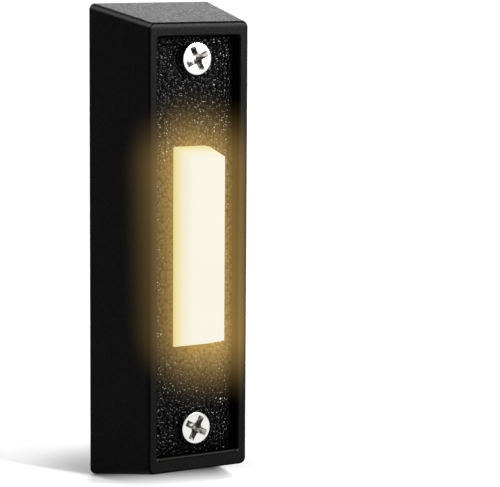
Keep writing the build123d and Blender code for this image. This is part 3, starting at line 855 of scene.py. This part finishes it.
# Base plate: black moulded nylon that closes the back and carries the board and the terminals,
# screwed to the housing. Its spark-eroded mould leaves a fine even grit.
nylon_colours = ("#19191A", "#222223")
nylon_gloss = 0.3
nylon_grit = 0.2 * mm
nylon_depth = 0.02 * mm
nylon, tree, shader, place = start_material("black_moulded_nylon")
grit = add_node(tree, "TexNoise", {"Vector": place, "Scale": 1 / nylon_grit, "Detail": 2.0})
bump = add_node(tree, "Bump", {
    "Height": grit.outputs["Fac"], "Distance": nylon_depth, "Strength": 0.5})
tone = add_node(tree, "MixRGB", {
    "Fac": grit.outputs["Fac"], "Color1": linear(nylon_colours[0]),
    "Color2": linear(nylon_colours[1])})
fill_inputs(tree, shader, {
    "Base Color": tone.outputs[0], "Roughness": 0.55, "IOR": 1.53,
    "Specular IOR Level": nylon_gloss, "Normal": bump.outputs[0]})
dress(nylon, "base_plate")

# Terminal screws, clamp washers and small screws: steel with a plain zinc plate. They clamp the
# bell wires and hold the board and the base plate.
# The plate is greyer and duller than on the wall screws, with a cloudy bloom.
zinc_colours = ("#A9ABAD", "#CFD1D2")
zinc_bloom = 0.7 * mm
zinc_roughness = (0.28, 0.46)
zinc, tree, shader, place = start_material("plain_zinc_plate")
bloom = add_node(tree, "TexNoise", {"Vector": place, "Scale": 1 / zinc_bloom, "Detail": 3.0})
tone = add_node(tree, "MixRGB", {
    "Fac": bloom.outputs["Fac"], "Color1": linear(zinc_colours[0]),
    "Color2": linear(zinc_colours[1])})
dull = add_node(tree, "MapRange", {
    "Value": bloom.outputs["Fac"], "To Min": zinc_roughness[0], "To Max": zinc_roughness[1]})
fill_inputs(tree, shader, {
    "Base Color": tone.outputs[0], "Metallic": 1.0, "Roughness": dull.outputs[0]})
dress(zinc, "left_clamp_washer", "right_clamp_washer", "left_terminal_screw",
      "right_terminal_screw", "base_screws", "board_screws")

# Studio: a white floor under the lower end and a white surround, which metal and gloss show too.
# The floor glows more away from the bell, in front and to the left, which paints its shadow soft
# and short.
# One sun shines from behind and one from overhead; a small soft box in front lights the bell only.
floor_size = 12
floor_colour = "#F4F4F4"
floor_bounce = 0.3
floor_glow = 0.25
floor_glow_reach = (46 * mm, 51.5 * mm)
front_slope = (-0.29, -1, 0)
front_reach = (3.5 * mm, 16.9 * mm)
side_slope = (-1, -0.42, 0)
side_reach = (12.7 * mm, 15.3 * mm)
side_glow = 0.55
surround_light = 0.25
back_light = ("back_light", (0.51, 0.76, 0.42), math.radians(30), 1.9)
top_light = ("top_light", (0.2, -0.25, 0.95), math.radians(25), 1.6)
soft_box_place = Vector((90, -199, 87)) * mm
soft_box_aim = Vector((0, -16, 20)) * mm
soft_box_size = 55 * mm
soft_box_strength = 1.7


def seen_directly(tree):
    """1 for what the camera sees, straight or by way of gloss and glass, and 0 for other light."""
    path = add_node(tree, "LightPath", {})
    seen = add_node(tree, "Math", {
        0: path.outputs["Is Camera Ray"], 1: path.outputs["Is Glossy Ray"]}, operation="ADD")
    shown = add_node(tree, "Math", {
        0: seen.outputs[0], 1: path.outputs["Is Transmission Ray"]}, operation="ADD")
    return shown.outputs[0]


bpy.ops.object.select_all(action="DESELECT")
bpy.ops.mesh.primitive_plane_add(size=floor_size, location=(0, 0, cad_box[0].z))
ground = bpy.context.object
ground.name = "studio_floor"
bpy.ops.object.transform_apply()
paper, tree, shader, place = start_material("white_studio_paper")
# Painted shadow: the glow rises with distance from the bell, in front and to the left, and so
# shapes the shadow.
away = add_node(tree, "VectorMath", {0: place}, operation="LENGTH")
round_about = add_node(tree, "MapRange", {
    "Value": away.outputs["Value"], "From Min": floor_glow_reach[0],
    "From Max": floor_glow_reach[1], "To Max": floor_glow})
before = add_node(tree, "VectorMath", {0: place, 1: front_slope}, operation="DOT_PRODUCT")
in_front = add_node(tree, "MapRange", {
    "Value": before.outputs["Value"], "From Min": front_reach[0], "From Max": front_reach[1]})
beside = add_node(tree, "VectorMath", {0: place, 1: side_slope}, operation="DOT_PRODUCT")
on_the_left = add_node(tree, "MapRange", {
    "Value": beside.outputs["Value"], "From Min": side_reach[0], "From Max": side_reach[1],
    "To Max": side_glow})
nearer = add_node(tree, "Math", {0: round_about.outputs[0], 1: in_front.outputs[0]},
                  operation="MAXIMUM")
bright = add_node(tree, "Math", {0: nearer.outputs[0], 1: on_the_left.outputs[0]},
                  operation="MAXIMUM")
lift = add_node(tree, "MapRange", {
    "Value": seen_directly(tree), "To Min": floor_bounce, "To Max": bright.outputs[0]})
fill_inputs(tree, shader, {
    "Base Color": linear(floor_colour), "Roughness": 0.9, "Specular IOR Level": 0.0,
    "Emission Color": grey(1), "Emission Strength": lift.outputs[0]})
ground.data.materials.append(paper)

scene = bpy.context.scene
scene.view_settings.view_transform = "Standard"
world = bpy.data.worlds.new("white_surround")
world.use_nodes = True
scene.world = world
tree = world.node_tree
level = add_node(tree, "MapRange", {
    "Value": seen_directly(tree), "To Min": surround_light, "To Max": 1})
fill_inputs(tree, tree.nodes["Background"], {"Color": grey(1), "Strength": level.outputs[0]})

for name, spot, spread, strength in (back_light, top_light):
    bpy.ops.object.select_all(action="DESELECT")
    bpy.ops.object.light_add(type="SUN", location=spot)
    sun = bpy.context.object
    sun.name = name
    sun.rotation_mode = "QUATERNION"
    sun.rotation_quaternion = sun.location.to_track_quat("Z", "Y")
    sun.data.angle = spread
    sun.data.energy = strength

bpy.ops.object.select_all(action="DESELECT")
bpy.ops.object.light_add(type="AREA", location=soft_box_place)
soft_box = bpy.context.object
soft_box.name = "soft_box"
soft_box.rotation_mode = "QUATERNION"
soft_box.rotation_quaternion = (soft_box_place - soft_box_aim).to_track_quat("Z", "Y")
soft_box.data.shape = "SQUARE"
soft_box.data.size = soft_box_size
soft_box.data.energy = soft_box_strength
soft_box.visible_camera = False
unlit = bpy.data.collections.new("out_of_the_soft_box")
unlit.objects.link(ground)
soft_box.light_linking.receiver_collection = unlit
unlit.collection_objects[0].light_linking.link_state = "EXCLUDE"

# Camera: at the left of the bell and a little above its middle, on a long lens.
# It is rolled by a third of a degree, because the bell leans by that in the picture.
camera_place = Vector((-231.25, -405.92, 60.88)) * mm
camera_aim = Vector((11.25, -18.0, 0.16)) * mm
camera_roll = math.radians(0.35)
camera_lens = 176.17
camera_sensor = 36
camera_range = (0.01, 20)
bpy.ops.object.select_all(action="DESELECT")
bpy.ops.object.camera_add(location=camera_place)
camera = bpy.context.object
camera.rotation_mode = "QUATERNION"
level_turn = (camera_aim - camera_place).to_track_quat("-Z", "Y")
camera.rotation_quaternion = level_turn @ Quaternion((0, 0, 1), camera_roll)
camera.data.lens = camera_lens
camera.data.sensor_width = camera_sensor
camera.data.clip_start, camera.data.clip_end = camera_range
scene.camera = camera
